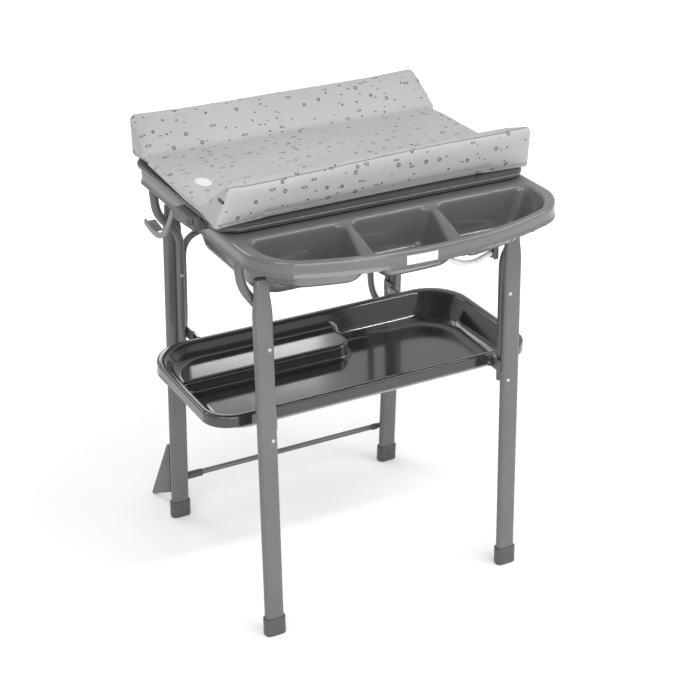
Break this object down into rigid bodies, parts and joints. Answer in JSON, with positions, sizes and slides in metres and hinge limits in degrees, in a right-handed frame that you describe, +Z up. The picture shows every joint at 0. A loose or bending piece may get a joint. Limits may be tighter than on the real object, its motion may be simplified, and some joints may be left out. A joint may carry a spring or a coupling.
{
  "type": "changing table with bathtub",
  "caption": "Folding changing table: a padded hinged top with raised side bolsters over a moulded bathtub with front compartments, on a tube frame with a low storage tray.",
  "frame": {"origin": "on the floor, under the middle of the overall box", "axes": "+X to the right seen from the front, +Y to the back, +Z up"},
  "size_m": [0.808, 0.8654, 1.0563],
  "materials": {
    "frame": "satin grey paint",
    "tub": "glossy moulded grey",
    "tray": "glossy moulded dark grey",
    "cap": "fine-grained moulding",
    "board": "satin moulding",
    "mat": "wipe-clean coated cloth",
    "lever": "satin moulding",
    "steel": "bright zinc",
    "hose": "translucent white"
  },
  "bodies": {
    "rear_frame": {"rear_leg_left": "frame", "rear_leg_right": "frame", "rear_foot_cap_left": "cap", "rear_foot_cap_right": "cap", "rear_tube_left": "frame", "rear_tube_right": "frame", "rear_tray_bracket_left": "frame", "rear_tray_bracket_right": "frame", "rear_tray_pin_left": "steel", "rear_tray_pin_right": "steel", "rear_rivet_left_1": "steel", "rear_rivet_left_2": "steel", "rear_rivet_right_1": "steel", "rear_rivet_right_2": "steel", "rear_brace": "frame", "cross_rod": "frame", "rod_sleeve": "cap", "rod_collar": "cap", "stand_fin": "cap"},
    "bath": {"tub": "tub", "drain_hose": "hose", "hose_clip": "cap", "front_rail_pin_left": "steel", "front_rail_pin_right": "steel", "rear_rail_pin_left": "steel", "rear_rail_pin_right": "steel", "tub_hinge_leaf_left": "board", "tub_hinge_leaf_right": "board", "hinge_pin_left": "steel", "hinge_pin_right": "steel", "latch_block_left": "cap", "latch_block_right": "cap"},
    "front_frame": {"front_leg_left": "frame", "front_leg_right": "frame", "front_foot_cap_left": "cap", "front_foot_cap_right": "cap", "front_tube_left": "frame", "front_tube_right": "frame", "front_tray_bracket_left": "frame", "front_tray_bracket_right": "frame", "front_rivet_left_1": "steel", "front_rivet_left_2": "steel", "front_rivet_right_1": "steel", "front_rivet_right_2": "steel"},
    "storage_tray": {"tray": "tray", "front_tray_pin_left": "steel", "front_tray_pin_right": "steel"},
    "changing_top": {"changing_board": "board", "changing_mat": "mat", "board_hinge_leaf_left": "board", "board_hinge_leaf_right": "board"},
    "lever_left": {"latch_lever_left": "lever"},
    "lever_right": {"latch_lever_right": "lever"},
    "barrel_left": {"latch_barrel_left": "cap"},
    "barrel_right": {"latch_barrel_right": "cap"},
    "plug": {"drain_plug": "cap"}
  },
  "joints": [
    {"name": "fold", "type": "hinge", "parent": "rear_frame", "child": "bath", "pos_m": [0, 0.23417, 0.924], "axis": [-1, 0, 0], "range_deg": [0, 50]},
    {"name": "front_frame_swing", "type": "hinge", "parent": "bath", "child": "front_frame", "pos_m": [0, -0.20929, 0.924], "axis": [-1, 0, 0], "range_deg": [-50, 0]},
    {"name": "tray_swing", "type": "hinge", "parent": "rear_frame", "child": "storage_tray", "pos_m": [0, 0.23417, 0.519], "axis": [-1, 0, 0], "range_deg": [0, 50]},
    {"name": "top_lift", "type": "hinge", "parent": "bath", "child": "changing_top", "pos_m": [0, 0.295, 0.9417], "axis": [-1, 0, 0], "range_deg": [0, 95]},
    {"name": "lever_left_swing", "type": "hinge", "parent": "bath", "child": "lever_left", "pos_m": [-0.38, 0.019, 0.928], "axis": [-1, 0, 0], "range_deg": [0, 45]},
    {"name": "barrel_left_pull", "type": "slide", "parent": "bath", "child": "barrel_left", "axis": [-1, 0, 0], "range_m": [0, 0.008], "stiffness_N_per_m": 300, "springref_m": -0.002},
    {"name": "lever_right_swing", "type": "hinge", "parent": "bath", "child": "lever_right", "pos_m": [0.38, 0.019, 0.928], "axis": [-1, 0, 0], "range_deg": [0, 45]},
    {"name": "barrel_right_pull", "type": "slide", "parent": "bath", "child": "barrel_right", "axis": [1, 0, 0], "range_m": [0, 0.008], "stiffness_N_per_m": 300, "springref_m": -0.002},
    {"name": "plug_lift", "type": "slide", "parent": "bath", "child": "plug", "axis": [0, 0, 1], "range_m": [0, 0.025]}
  ],
  "couplings": [
    {"joint": "front_frame_swing", "follows": "fold", "ratio": -1},
    {"joint": "tray_swing", "follows": "fold", "ratio": 1}
  ]
}
